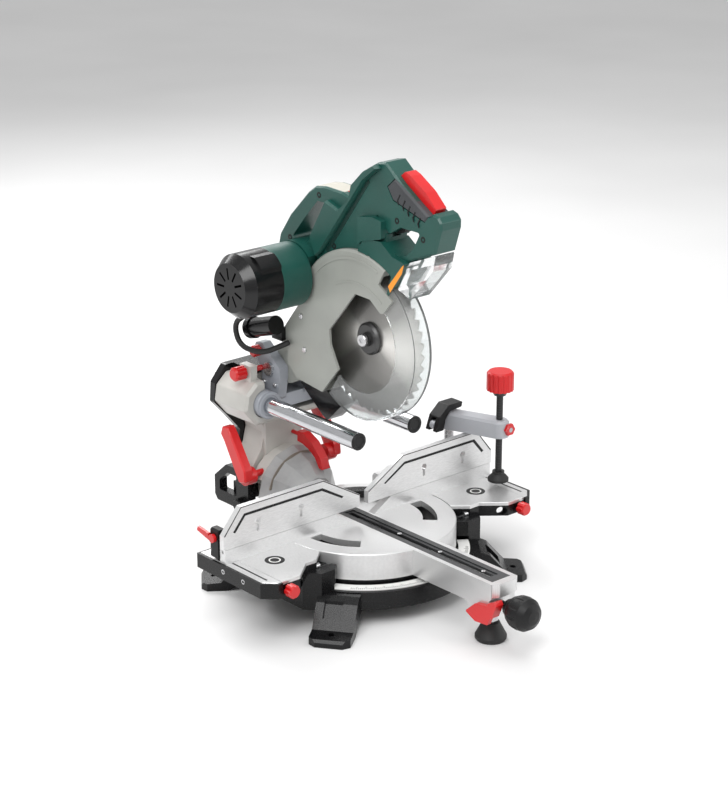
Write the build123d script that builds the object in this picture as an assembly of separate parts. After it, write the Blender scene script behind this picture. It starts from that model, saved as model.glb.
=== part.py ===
from build123d import *

import math
import os

# Sliding compound mitre saw, modelled standing on its feet with the head raised and slid back.
# Millimetres. Origin on the bench under the turntable axis, +X to the operator's right,
# +Y to the back, +Z up. Each function below returns one separate physical piece.

# ---------------------------------------------------------------- driving dimensions
TABLE_Z = 95.0  # table top above the bench
TABLE_HALF = 250.0  # aluminium table, centre to outer edge
SEAM_X = 228.0  # where the fixed table ends and the pull-out extension begins
TABLE_BACK = 56.0
TABLE_FRONT = -94.0
PLATE = 5.0  # table plate thickness
SKIRT_Z = 74.0  # underside of the black skirt below the tables
TURN_R = 132.0  # turntable
TURN_Z = 57.0  # underside of the turntable
RING_R = 158.0  # base ring
RING_Z = 50.0  # top of the base ring
RING_BOTTOM = 24.0
FOOT_ANGLE = 37.0  # feet point this far forward and back of the X axis
FOOT_R = 234.0  # tip of a foot from the turntable axis
FOOT_W = 58.0
BOLT_R = 216.0  # bench bolt holes from the turntable axis
BOLT_HOLE_R = 4.5
MITRE_LIMIT = 47.0
SCALE_R = 152.0  # outside of the mitre scale

FENCE_T = 12.0
LOW_FENCE_TOP = 115.0
HIGH_FENCE_TOP = 172.0

ARM_W = 24.0  # half width of the turntable's front arm
ARM_FRONT = -292.0
SLOT_HALF = 17.0  # recess for the kerf insert
FOOT_Y = -262.0  # support foot under the arm
KNOB_Z = 59.0  # mitre lock rod

TILT_Z = TABLE_Z  # bevel axis lies in the table top
TUBE_X = 52.0  # guide tubes, off centre
TUBE_Z = 238.0
TUBE_R = 12.5
TUBE_FRONT = -48.0
TUBE_BACK = 231.0

HINGE_Y = 168.0  # chop hinge
HINGE_Z = 285.0
PIN_R = 6.0

HUB_Y = -15.0  # blade axis with the head raised
HUB_Z = 369.0
BLADE_R = 108.0
BLADE_BORE = 15.0
GUARD_R = 130.0  # outside of the fixed upper guard
POCKET_R = 117.5  # room for the lower guard inside the upper one
GUARD_LEFT = -28.0
GUARD_RIGHT = 14.0
POCKET_LEFT = -24.4
POCKET_RIGHT = 10.0

MOTOR_Y = 115.0
MOTOR_Z = 440.0
MOTOR_R = 46.0
MOTOR_FRONT = -33.0  # joint face towards the gear side
MOTOR_SPLIT = -85.0
MOTOR_END = -145.0

POST_X = 201.0  # work clamp post
POST_Y = 39.0
POST_R = 7.5
SCREW_X = 230.0
SCREW_Y = -38.0
CLAMP_Z = 174.0
CLAMP_TOP = 200.0
PAD_Z = 104.0

RUN = 0.05  # radial running clearance
GAP = 0.3  # free gap between neighbours that move past each other


# ---------------------------------------------------------------- small helpers
def outline(points, r=0.0):
    sketch = make_face(Polyline(*points, close=True))
    return fillet(sketch.vertices(), r) if r else sketch


def up(points, z0, z1, r=0.0):
    """An outline in x and y, standing from z0 to z1."""
    return extrude(Plane.XY.offset(z0) * outline(points, r), amount=z1 - z0, dir=(0, 0, 1))


def across(points, x0, x1, r=0.0):
    """An outline in y and z, reaching from x0 to x1."""
    return extrude(Plane.YZ.offset(x0) * outline(points, r), amount=x1 - x0, dir=(1, 0, 0))


def along(points, y0, y1, r=0.0):
    """An outline in x and z, reaching from y0 to y1."""
    return extrude(Plane.XZ.offset(-y0) * outline(points, r), amount=y1 - y0, dir=(0, 1, 0))


def block(x0, x1, y0, y1, z0, z1):
    return Pos((x0 + x1) / 2, (y0 + y1) / 2, (z0 + z1) / 2) * Box(x1 - x0, y1 - y0, z1 - z0)


def rod_x(r, x0, x1, y, z):
    return Pos((x0 + x1) / 2, y, z) * Rot(0, 90, 0) * Cylinder(r, x1 - x0)


def rod_y(r, y0, y1, x, z):
    return Pos(x, (y0 + y1) / 2, z) * Rot(90, 0, 0) * Cylinder(r, y1 - y0)


def rod_z(r, z0, z1, x=0.0, y=0.0):
    return Pos(x, y, (z0 + z1) / 2) * Cylinder(r, z1 - z0)


def turned(profile):
    """A solid of revolution about Z from (radius, height) points."""
    return revolve(Plane.XZ * outline(profile), Axis.Z)


def fluted_knob(r, h, flutes, depth, crown=2.0):
    """A knob standing on z = 0 with scalloped sides and a chamfered top."""
    knob = Pos(0, 0, h / 2) * Cylinder(r, h)
    knob = chamfer(knob.faces().sort_by(Axis.Z)[-1].edges(), crown)
    cut_r = 2.2 * depth
    for k in range(flutes):
        a = math.tau * (k + 0.5) / flutes
        reach = r + cut_r - depth
        knob -= Pos(reach * math.cos(a), reach * math.sin(a), h / 2) * Cylinder(cut_r, 2 * h)
    return knob


def left(part):
    """The mirror image on the saw's left side."""
    return mirror(part, about=Plane.YZ)


def polar(r, degrees, y=HUB_Y, z=HUB_Z):
    """A point in y and z at an angle about the blade axis, counted from +Y towards +Z."""
    a = math.radians(degrees)
    return (y + r * math.cos(a), z + r * math.sin(a))


def arc_points(r, start, end, steps, y=HUB_Y, z=HUB_Z):
    return [polar(r, start + (end - start) * k / steps, y, z) for k in range(steps + 1)]


def sector(r0, r1, start, end, x0, x1):
    """Part of a ring about the blade axis."""
    ring = rod_x(r1, x0, x1, HUB_Y, HUB_Z) - rod_x(r0, x0 - 1, x1 + 1, HUB_Y, HUB_Z)
    far = 2 * r1
    steps = max(2, round((end - start) / 30))
    wedge = across([(HUB_Y, HUB_Z)] + arc_points(far, start, end, steps), x0 - 1, x1 + 1)
    return ring & wedge


# ---------------------------------------------------------------- base and tables
SIDE_TABLE = [  # right half of the fixed table, without the turntable's circle
    (90, TABLE_BACK),
    (SEAM_X, TABLE_BACK),
    (SEAM_X, TABLE_FRONT),
    (196, TABLE_FRONT),
    (163, -67),
    (145, -67),
    (90, -20),
]
EXTENSION = [
    (SEAM_X + GAP, TABLE_BACK),
    (TABLE_HALF, TABLE_BACK),
    (TABLE_HALF, -79),
    (235, TABLE_FRONT),
    (SEAM_X + GAP, TABLE_FRONT),
]
ROD_YS = (-62.0, 24.0)
ROD_Z = 82.0
ROD_R = 4.0


def foot():
    """One leg of the base, pointing along +X, sloping down to a flat bolted toe."""
    side = [
        (138, 24),
        (138, RING_Z),
        (166, RING_Z - 2),
        (180, 42),
        (206, 13),
        (FOOT_R - 3, 11),
        (FOOT_R, 7),
        (FOOT_R, 0),
        (196, 0),
        (182, 8),
        (162, 20),
    ]
    leg = along(side, -FOOT_W / 2, FOOT_W / 2)
    leg -= along([(150, 20), (150, 38), (172, 36), (196, 9), (196, 5)], -18, 18)
    leg -= along([(176, 60), (176, 38.5), (193, 20), (210, 60)], -17, 9)
    waist = [(130, -34), (175, -34), (208, -29), (FOOT_R - 8, -29), (FOOT_R + 1, -18)]
    leg &= up(waist + [(x, -y) for x, y in reversed(waist)], -1, 60)
    leg -= rod_z(BOLT_HOLE_R, -1, 30, BOLT_R, 0)
    return leg


def swing_room():
    """Room behind the tables for the bevel bracket at both mitre limits."""
    bracket = block(-68, 68, 90, 176, RING_Z + 0.3, 110)
    return Rot(0, 0, MITRE_LIMIT) * bracket + Rot(0, 0, -MITRE_LIMIT) * bracket


def arm_room():
    """Room in front of the leg blocks for the turntable arm at both mitre limits."""
    arm = block(-ARM_W - 0.5, ARM_W + 0.5, -300, -100, RING_Z + 0.3, 110)
    return Rot(0, 0, MITRE_LIMIT) * arm + Rot(0, 0, -MITRE_LIMIT) * arm


def side_skirt():
    """Black casting under the right table: apron, leg block and clamp socket."""
    apron = up(SIDE_TABLE, SKIRT_Z, TABLE_Z - PLATE)
    pocket = [(172, 50), (212, 50), (212, -86), (198, -86), (172, -66)]
    apron -= up(pocket, SKIRT_Z - 1, TABLE_Z - PLATE - 4)
    leg = up([(96, 40), (166, 40), (166, -62), (150, -84), (96, -84)], RING_BOTTOM, 80)
    leg -= up([(140, 34), (160, 34), (160, -56), (140, -56)], RING_BOTTOM - 1, 74)
    skirt = apron + leg
    skirt += rod_z(14, 58, TABLE_Z - PLATE, POST_X, POST_Y)
    skirt -= rod_z(POST_R + RUN, 50, 100, POST_X, POST_Y)
    skirt -= rod_z(TURN_R + 2.5, RING_Z - 1, 120) + swing_room() + arm_room()
    skirt -= rod_z(SCALE_R + 0.5, RING_Z, RING_Z + 8)
    for y in ROD_YS:
        skirt -= rod_x(ROD_R + RUN, 100, SEAM_X + 2, y, ROD_Z)
    skirt -= rod_y(3 + RUN, -100, ROD_YS[0], KNOB_X, ROD_Z)
    skirt -= rod_y(6, -100, -60, 189, ROD_Z)
    return skirt


KNOB_X = 218.0


def fence_posts():
    """Posts behind the outer ends of the fences that the fence locks turn in."""
    post = block(238, 252, FENCE_T + 1.5, 30, 97, 141)
    tie = block(206, 240, FENCE_T + 1.5, 30, TABLE_Z + 0.2, 110)
    post = chamfer(post.edges().filter_by(Axis.Y), 2.5)
    post = post + tie - rod_x(2.5 + RUN, 230, 260, 22, 128)
    return [post, left(post)]


def base_frame():
    base = rod_z(RING_R, RING_BOTTOM, RING_Z) - rod_z(126, RING_BOTTOM - 1, RING_Z + 1)
    base = chamfer(base.edges().filter_by(GeomType.CIRCLE).sort_by(Axis.Z)[-1], 2)
    base += rod_z(130.5, 46, 55)
    base += rod_z(28, RING_BOTTOM, 55)
    for k in range(6):
        base += Rot(0, 0, 60 * k) * block(20, 130, -3, 3, 28, 48)
    for a in (FOOT_ANGLE, 180 - FOOT_ANGLE, 180 + FOOT_ANGLE, -FOOT_ANGLE):
        base += Rot(0, 0, a) * foot()
    skirt = side_skirt()
    base += skirt
    base += left(skirt)
    base -= rod_z(10 + RUN, 0, 60)
    return base


def table_tops():
    half = up(SIDE_TABLE, TABLE_Z - PLATE, TABLE_Z) - rod_z(TURN_R + 0.8, 80, 100)
    half -= rod_z(POST_R + 0.5, 80, 100, POST_X, POST_Y) + swing_room()
    half = chamfer(half.faces().sort_by(Axis.Z)[-1].edges().filter_by(GeomType.LINE), 0.6)
    return [half, left(half)]


def mitre_scale():
    """Graduated arc on the front of the base ring."""
    arc = rod_z(SCALE_R, RING_Z, RING_Z + 1.5) - rod_z(135.5, RING_Z - 1, RING_Z + 3)
    fan = [(0, 0)]
    for k in range(9):
        a = math.radians(-90 - 58 + 116 * k / 8)
        fan.append((200 * math.cos(a), 200 * math.sin(a)))
    return arc & up(fan, RING_Z - 1, RING_Z + 3)


def lower_fences():
    half = along([(19, TABLE_Z), (51.5, LOW_FENCE_TOP), (TABLE_HALF, LOW_FENCE_TOP),
                  (TABLE_HALF, TABLE_Z)], 0, FENCE_T)
    half -= block(60, TABLE_HALF + 1, 3.9, 8.1, LOW_FENCE_TOP - 6.2, LOW_FENCE_TOP + 1)
    foot_flange = block(60, 200, FENCE_T, 26, TABLE_Z, TABLE_Z + 7)
    foot_flange -= rod_z(POST_R + 2, 80, 110, POST_X, POST_Y)
    return [half + foot_flange, left(half + foot_flange)]


def fence_bridge():
    """Black bow behind the cut that ties the two lower fences together."""
    bow = rod_z(92, TABLE_Z + 1, TABLE_Z + 11) - rod_z(74, TABLE_Z, TABLE_Z + 12)
    bow &= block(-100, 100, 28, 100, TABLE_Z, TABLE_Z + 12)
    for s in (-1, 1):
        tab = block(62, 90, FENCE_T + 0.2, 36, TABLE_Z + 7.2, TABLE_Z + 15)
        bow += tab if s > 0 else left(tab)
    return bow


def pivot_bolt():
    bolt = rod_z(10, 16, 78) + rod_z(17, 78, 84)
    nut = up([(17 * math.cos(math.tau * k / 6), 17 * math.sin(math.tau * k / 6)) for k in range(6)],
             12, RING_BOTTOM - 0.2)
    return bolt + nut


# ---------------------------------------------------------------- table extensions
def extension_plate():
    plate = up(EXTENSION, TABLE_Z - PLATE, TABLE_Z - 0.2)
    return chamfer(plate.faces().sort_by(Axis.Z)[-1].edges(), 0.6)


def end_rail():
    outer = [
        (SEAM_X + GAP, TABLE_BACK + 3),
        (TABLE_HALF + 4, TABLE_BACK + 3),
        (TABLE_HALF + 4, -80.5),
        (236.5, TABLE_FRONT - 3.5),
        (SEAM_X + GAP, TABLE_FRONT - 3.5),
    ]
    rail = up(outer, SKIRT_Z - 1, TABLE_Z - 0.6)
    rail -= up([(x + (1 if x > 240 else 0) * 0.05, y) for x, y in EXTENSION], TABLE_Z - PLATE, 100)
    rail -= block(SEAM_X, TABLE_HALF - 4, -84, 50, SKIRT_Z - 2, TABLE_Z - PLATE - 3)
    for y in ROD_YS:
        rail -= rod_x(ROD_R, TABLE_HALF - 6, TABLE_HALF, y, ROD_Z)
    return rail


def extension_rods():
    return [rod_x(ROD_R, 137, TABLE_HALF, y, ROD_Z) for y in ROD_YS]


def extension_knob():
    knob = Rot(90, 0, 0) * fluted_knob(9.5, 13, 6, 1.4)
    stud = rod_y(3, -98, ROD_YS[0] - ROD_R - 1, KNOB_X, ROD_Z)
    return Pos(KNOB_X, -98, ROD_Z) * knob + stud


# ---------------------------------------------------------------- sliding fences
def upper_fence():
    foot_z = LOW_FENCE_TOP + GAP
    face = along([(8, foot_z), (8, 133), (75, HIGH_FENCE_TOP), (222, HIGH_FENCE_TOP),
                  (252, 136), (252, foot_z)], 0.2, 9)
    face -= along([(38, 138), (41, 136), (78, 157), (214, 157), (232, 136), (236, 138),
                   (216.5, 161), (77, 161)], -1, 1.4)
    for x in (116, 193):
        face -= rod_y(5, -1, 10, x, 143)
        face -= block(x - 2.2, x + 2.2, -1, 10, 129, 143)
    tongue = block(62, 248, 4, 8, LOW_FENCE_TOP - 6, foot_z)
    lug = block(36, 60, 9, 23, 124, 147)
    return face + tongue + chamfer(lug.edges().filter_by(Axis.Y), 3)


def fence_lever():
    """Thumb lever of the fence lock, turning about X in the post behind the fence."""
    boss = rod_x(6, 252.3, 257, 22, 128) + rod_x(2.5, 236, 253, 22, 128)
    blade = across([(18, 122), (26, 122), (29, 134), (52, 137), (54, 131), (34, 126)], 253, 257)
    return boss + blade


# ---------------------------------------------------------------- work clamp
def clamp_post():
    post = rod_z(POST_R, 62, CLAMP_TOP - 5, POST_X, POST_Y)
    return chamfer(post.faces().sort_by(Axis.Z)[0].edges(), 1.2)


def clamp_arm():
    plan = make_hull(
        (Pos(POST_X, POST_Y) * Circle(13)).edges() + (Pos(SCREW_X, SCREW_Y) * Circle(14.5)).edges()
    )
    arm = extrude(Plane.XY.offset(CLAMP_Z) * plan, amount=CLAMP_TOP - CLAMP_Z)
    arm = chamfer(arm.faces().sort_by(Axis.Z)[-1].edges(), 3.5)
    arm += block(172, 194, POST_Y - 4, POST_Y + 4, 178, 190)
    arm += rod_y(6.5, POST_Y - 4, POST_Y + 4, 172, 184)
    arm -= rod_z(POST_R + RUN, CLAMP_Z - 1, CLAMP_TOP - 4.5, POST_X, POST_Y)
    arm -= rod_z(5 + RUN, CLAMP_Z - 1, CLAMP_TOP + 1, SCREW_X, SCREW_Y)
    arm -= rod_y(2.5, POST_Y - 20, POST_Y + 20, 172, 184)
    front = Pos(SCREW_X + 5, SCREW_Y - 13.5, 187) * Rot(90, 0, 20) * fluted_knob(8, 6, 6, 0.8, 1.2)
    return arm + front


def clamp_lever():
    """Cam lever that grips the post: a fork on a pin through the arm's rear ear."""
    side = [(164, 176), (180, 176), (184, 192), (192, 203), (216, 205), (218, 213),
            (190, 213), (172, 198)]
    lever = along(side, POST_Y - 11, POST_Y + 11, 1.5)
    lever -= along([(150, 160), (192, 160), (192, 196), (150, 196)], POST_Y - 4.5, POST_Y + 4.5)
    return lever + rod_y(2.4, POST_Y - 11, POST_Y + 11, 172, 184)


def clamp_spindle():
    screw = rod_z(5, PAD_Z + 6, 246, SCREW_X, SCREW_Y)
    for k in range(33):
        z = PAD_Z + 16 + 4 * k
        if z < 240:
            ring = rod_z(6, z, z + 1.2, SCREW_X, SCREW_Y) - rod_z(4.4, z - 1, z + 3, SCREW_X, SCREW_Y)
            screw -= ring
    collar = Pos(SCREW_X, SCREW_Y, 238) * turned([(0, 0), (9, 0), (12, 6), (12, 9), (0, 9)])
    knob = Pos(SCREW_X, SCREW_Y, 246) * fluted_knob(20, 29, 16, 1.3, 3)
    return screw + collar + knob


def clamp_pad():
    cup = turned([(0, 0), (15.5, 0), (15.5, 4), (12, 8), (9, 11), (9, 15), (0, 15)])
    pad = Pos(SCREW_X, SCREW_Y, PAD_Z) * cup
    return pad - rod_z(5 + RUN, PAD_Z + 6 - RUN, PAD_Z + 20, SCREW_X, SCREW_Y)


# ---------------------------------------------------------------- turntable and its arm
def turntable():
    disc = rod_z(TURN_R, TURN_Z, TABLE_Z)
    disc = chamfer(disc.edges().filter_by(GeomType.CIRCLE).sort_by(Axis.Z)[-1], 1)
    disc -= rod_z(TURN_R - 7, TURN_Z - 1, TABLE_Z - 9) - rod_z(24, TURN_Z - 2, TABLE_Z)
    side = [(-112, TABLE_Z), (-286, TABLE_Z), (-286, 74), (-282, 70), (-282, 43),
            (-254, 43), (-236, TURN_Z), (-112, TURN_Z)]
    arm = across(side, -ARM_W, ARM_W)
    arm += up([(-24, -285), (-14, ARM_FRONT), (14, ARM_FRONT), (24, -285)], 75, TABLE_Z)
    arm -= across([(-100, 88), (-278, 88), (-278, 52), (-276, 35), (-256, 35), (-256, 50),
                   (-250, 56), (-250, 40), (-100, 40)], -ARM_W + 6, ARM_W - 6)
    arm += rod_z(13, 43, 51, 0, FOOT_Y)
    arm += block(-ARM_W + 5, ARM_W - 5, FOOT_Y - 8, FOOT_Y + 8, 43, 51)
    table = disc + (arm - rod_z(TURN_R - 3.5, 0, 100))
    table -= block(-SLOT_HALF, SLOT_HALF, -280, 38, TABLE_Z - 6, TABLE_Z + 1)
    table -= block(-9, 9, -246, 36, TURN_Z - 10, TABLE_Z)
    table -= rod_z(10 + RUN, 50, 78 + RUN) + rod_z(17.5, 78, 90)
    table -= rod_z(5 + RUN, 40, 52, 0, FOOT_Y)
    table -= rod_y(5 + RUN, -300, -240, 0, KNOB_Z)
    table -= rod_x(3.5 + RUN, -26, -16, FOOT_Y, 56)
    for s in (-1, 1):
        table -= finger_slot(s)
    return table


def finger_slot(side):
    """Curved recess in the turntable top, the full thickness of its plate."""
    ring = rod_z(105, TABLE_Z - 12, TABLE_Z + 1) - rod_z(84, TABLE_Z - 13, TABLE_Z + 2)
    fan = [(0, 0)]
    for k in range(5):
        a = math.radians(-3 - 43 * k / 4)
        fan.append((160 * math.cos(a), 160 * math.sin(a)))
    slot = ring & up(fan, 0, 100)
    return slot if side > 0 else left(slot)


def kerf_insert():
    plate = block(-SLOT_HALF + 0.15, SLOT_HALF - 0.15, -279.8, 37.8, TABLE_Z - 6, TABLE_Z)
    plate -= block(-4.5, 3.5, -262, 30, 80, 100)
    plate -= block(-9, 8, -266, 33, TABLE_Z - 2, TABLE_Z + 1)
    return plate


def facet_ring(r, y):
    points = [(r, TURN_Z)]
    for k in range(7):
        a = math.pi * k / 6
        points.append((r * math.cos(a), TILT_Z + r * math.sin(a)))
    points.append((-r, TURN_Z))
    return Plane.XZ.offset(-y) * outline(points)


def tilt_bracket():
    """Faceted dome at the back of the turntable that carries the bevel shaft."""
    dome = loft([facet_ring(30, 104), facet_ring(50, 122), facet_ring(66, 159)], ruled=True)
    dome -= rod_z(TURN_R + 0.2, 50, TABLE_Z + 0.2)
    dome -= rod_y(10, 90, 170, 0, TILT_Z)
    return dome


def tilt_shaft():
    shaft = rod_y(10, 134, 240, 0, TILT_Z)
    nut = along([(17 * math.cos(math.tau * k / 6), TILT_Z + 17 * math.sin(math.tau * k / 6))
                 for k in range(6)], 240, 250)
    return shaft + nut


def detent_lever():
    """Thumb lever beside the arm that lifts the detent pin."""
    cheek = across([(-243, 45), (-262, 62), (-286, 66), (-294, 56), (-286, 38), (-262, 36)],
                   -31, -ARM_W - 0.4, 2)
    thumb = across([(-282, 52), (-286, 70), (-299, 76), (-302, 70), (-294, 50)], -31, -17, 1)
    pin = rod_x(3.5, -ARM_W - 1, -17, FOOT_Y, 56)
    return cheek + thumb - block(-ARM_W - 0.4, 0, -291, -240, 30, 80) + pin


def mitre_knob():
    body = turned([(0, 0), (11, 0), (14, 6), (19, 12), (23, 20), (24, 28), (23, 37), (18, 45),
                   (10, 49), (0, 50)])
    for k in range(10):
        a = math.tau * k / 10
        body -= Pos(25.5 * math.cos(a), 25.5 * math.sin(a), 22) * Cylinder(3, 26)
    knob = Pos(0, -294, KNOB_Z) * Rot(90, 0, 0) * body
    return knob + rod_y(5, -295, -244, 0, KNOB_Z)


def foot_pad():
    cone = turned([(0, 0), (20, 0), (22, 3), (22, 7), (14, 22), (12, 26), (0, 26)])
    return Pos(0, FOOT_Y, 0) * cone - rod_z(5 + RUN, 12 - RUN, 40, 0, FOOT_Y)


def foot_stud():
    nut = up([(10 * math.cos(math.tau * k / 6), FOOT_Y + 10 * math.sin(math.tau * k / 6))
              for k in range(6)], 29, 35)
    return rod_z(5, 12, 49, 0, FOOT_Y) + nut


# ---------------------------------------------------------------- bevel column
NECK = [(-40, 100), (-58, 116), (-52, 136), (-38, 156), (-32, 180), (-38, 204), (-66, 214)]
HOUSING = [(-88, 232), (-84, 256), (-66, 272), (66, 272), (84, 256), (88, 232), (66, 206), (-66, 206)]
BARREL_R = 20.0
BARREL_FRONT = 150.0
BARREL_BACK = 186.0
COLUMN_FRONT = 158.0


def column():
    body = rod_y(37, 162, 230, 0, TILT_Z)
    fan = [(0, TILT_Z)]
    for k in range(9):
        a = math.radians(22 + 136 * k / 8)
        fan.append((62 * math.cos(a), TILT_Z + 62 * math.sin(a)))
    body += along(fan, 162, 182)
    neck = NECK + [(-x, z) for x, z in reversed(NECK)]
    body += along(neck, 186, 230, 4)
    body += along([(-34, 130), (34, 130), (34, 206), (-34, 206)], 180, 190)
    cheeks = along(HOUSING, COLUMN_FRONT, 230, 6)
    cheeks = chamfer(cheeks.faces().sort_by(Axis.Y)[0].edges(), 4)
    room = block(-TUBE_X, TUBE_X, COLUMN_FRONT - 5, BARREL_BACK + 4, 217, 300)
    for s in (-1, 1):
        room += rod_y(BARREL_R + 1.2, COLUMN_FRONT - 5, BARREL_BACK + 4, s * TUBE_X, TUBE_Z)
    body += cheeks - room
    body += block(-68, -56, 170, 194, 262, 294)
    for s in (-1, 1):
        body -= rod_y(TUBE_R, 150, TUBE_BACK, s * TUBE_X, TUBE_Z)
    body -= rod_y(10 + RUN, 150, 240, 0, TILT_Z)
    body -= rod_x(4 + RUN, -80, -50, 182, 284)
    body -= rod_x(5 + RUN, -120, 120, 170, 128)
    body -= rod_y(3 + RUN, 175, 189, 17, 172)
    return body


def column_cover():
    rim = [(-88, 228), (-86, 258), (-66, 282), (66, 282), (86, 258), (88, 228), (64, 202), (42, 176),
           (46, 148), (-46, 148), (-42, 176), (-64, 202)]
    cover = along(rim, 231.2, 245, 5)
    cover = chamfer(cover.faces().sort_by(Axis.Y)[-1].edges(), 3)
    lid = block(-52, 66, 194, 232, 272.3, 282)
    return cover + lid


def guide_tubes():
    tubes = []
    for s in (-1, 1):
        tube = rod_y(TUBE_R, TUBE_FRONT, TUBE_BACK, s * TUBE_X, TUBE_Z)
        tube = chamfer(tube.faces().sort_by(Axis.Y)[0].edges(), 1)
        tubes.append(tube)
    return tubes


def bevel_levers():
    """Two lock levers on one cross shaft through the column."""
    side = [(156, 124), (172, 120), (182, 136), (206, 176), (214, 186), (210, 198), (198, 200),
            (190, 190), (158, 142)]
    lever = across(side, 78, 92, 4)
    lever = chamfer(lever.faces().sort_by(Axis.X)[-1].edges(), 2)
    lever += rod_x(13, 68, 84, 170, 128)
    shaft = rod_x(5, -80, 80, 170, 128)
    return shaft + lever + left(lever)


def bevel_stop_lever():
    """Hooked lever over the dome that sets the bevel stop, turning about Y."""
    hook = [(161, 164), (161, 180), (150, 180), (128, 170), (108, 150), (103, 134), (112, 135),
            (121, 149), (135, 158), (150, 163)]
    lever = across(hook, 10, 24, 1)
    return lever + rod_y(3, 158, 188, 17, 172)


def slide_lock_knob():
    knob = Pos(-72, 182, 284) * Rot(0, -90, 0) * fluted_knob(10.5, 19, 8, 1.2, 3)
    return knob + rod_x(4, -73, -37.5, 182, 284)


def rear_bracket():
    """Black loop beside the column foot, a grip for turning the saw and a stop for its knob."""
    loop = across([(176, 80), (190, 66), (250, 66), (256, 74), (256, 104), (228, 128), (190, 128),
                   (176, 112)], -72, -58, 3)
    loop -= across([(204, 84), (244, 84), (244, 100), (224, 116), (204, 116)], -80, -50, 2)
    stem = block(-60, -30, 196, 226, 78, 100) - rod_y(37.2, 190, 230, 0, TILT_Z)
    knob = Pos(-72, 192, 76) * Rot(0, -90, 0) * fluted_knob(10, 10, 6, 1.2, 2)
    return loop + stem + knob


# ---------------------------------------------------------------- sliding carriage
EAR_IN = 18.0
EAR_OUT = 34.0


def carriage():
    frame = block(-38, 38, 154, BARREL_BACK, 226, 246)
    for s in (-1, 1):
        barrel = rod_y(BARREL_R, BARREL_FRONT, BARREL_BACK, s * TUBE_X, TUBE_Z)
        frame += chamfer(barrel.faces().sort_by(Axis.Y)[0].edges(), 2)
        ear = [(152, 240), (186, 240), (187, 276), (204, 304), (200, 318), (186, 320), (170, 308),
               (146, 290), (146, 274)]
        plate = across(ear, EAR_IN, EAR_OUT, 5)
        frame += plate if s > 0 else left(plate)
    for s in (-1, 1):
        frame -= rod_y(15, 140, 200, s * TUBE_X, TUBE_Z)
    frame -= rod_x(PIN_R, -50, 50, HINGE_Y, HINGE_Z)
    frame -= rod_x(3 + RUN, -40, -10, 190, 308)
    return frame


def slide_bushes():
    bushes = []
    for s in (-1, 1):
        bush = rod_y(15, BARREL_FRONT + 1, BARREL_BACK - 1, s * TUBE_X, TUBE_Z)
        bushes.append(bush - rod_y(TUBE_R + RUN, 140, 200, s * TUBE_X, TUBE_Z))
    return bushes


def hinge_pin():
    head = rod_x(10, -39, -EAR_OUT - 0.05, HINGE_Y, HINGE_Z)
    return rod_x(PIN_R, -EAR_OUT - 1, 37, HINGE_Y, HINGE_Z) + head


def transport_pin():
    knob = Pos(-37, 190, 308) * Rot(0, -90, 0) * fluted_knob(8.5, 12, 6, 1, 2)
    return knob + rod_x(3, -38, -22, 190, 308)


# ---------------------------------------------------------------- head
def pocket():
    """Room that the blade and the retracting lower guard sweep."""
    return rod_x(POCKET_R, POCKET_LEFT, POCKET_RIGHT, HUB_Y, HUB_Z)


ARM_SIDE = [(105, 399), (139, 356), (158, 322), (176, 300), (186, 288), (184, 270), (168, 262),
            (140, 266), (114, 279), (58, 277)]


def upper_guard():
    """One casting: fixed blade guard, back plate with the arbor boss, and chop arm."""
    rim = arc_points(GUARD_R, 37, 117, 1)
    left_side = make_face(
        Polyline(rim[-1], (-61, 462), (-89, 444), (-71, 423), (-65, 422), (-44, 437), (-13, 438),
                 (42, 373), (40, 351), (23, 319), (58, 277), (114, 283), (145, 310), (158, 322),
                 (139, 356), (105, 399), rim[0])
        + ThreePointArc(rim[0], polar(GUARD_R, 77), rim[-1])
    )
    shell = extrude(Plane.YZ.offset(GUARD_LEFT) * left_side, amount=GUARD_RIGHT - GUARD_LEFT,
                    dir=(1, 0, 0))
    shell = chamfer(shell.faces().sort_by(Axis.X)[0].edges().filter_by(GeomType.CIRCLE), 3)
    back = across([rim[0], (105, 399), (58, 300), (20, 300), (-60, 330), (-70, 423), rim[-1],
                   polar(GUARD_R, 97), polar(GUARD_R, 77), polar(GUARD_R, 57)],
                  POCKET_RIGHT, GUARD_RIGHT)
    boss = rod_x(22, POCKET_RIGHT, 17, HUB_Y, HUB_Z)
    arm = across(ARM_SIDE, -EAR_IN + 0.4, EAR_IN - 4.4)
    arm += rod_x(22, -EAR_IN + 0.4, EAR_IN - 0.4, HINGE_Y, HINGE_Z)
    casting = shell - block(-40, 40, 134, 200, 200, 330) + back + boss + arm
    casting -= pocket()
    casting -= rod_x(10 + RUN, 0, 40, HUB_Y, HUB_Z)
    casting -= rod_x(PIN_R + RUN, -60, 60, HINGE_Y, HINGE_Z)
    return casting


# everything in front of this line belongs to the guard casting
GUARD_SIDE = [(60, 520), (89.6, 447.6), (106, 400), (140, 356.5), (0, 340), (0, 520)]


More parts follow.
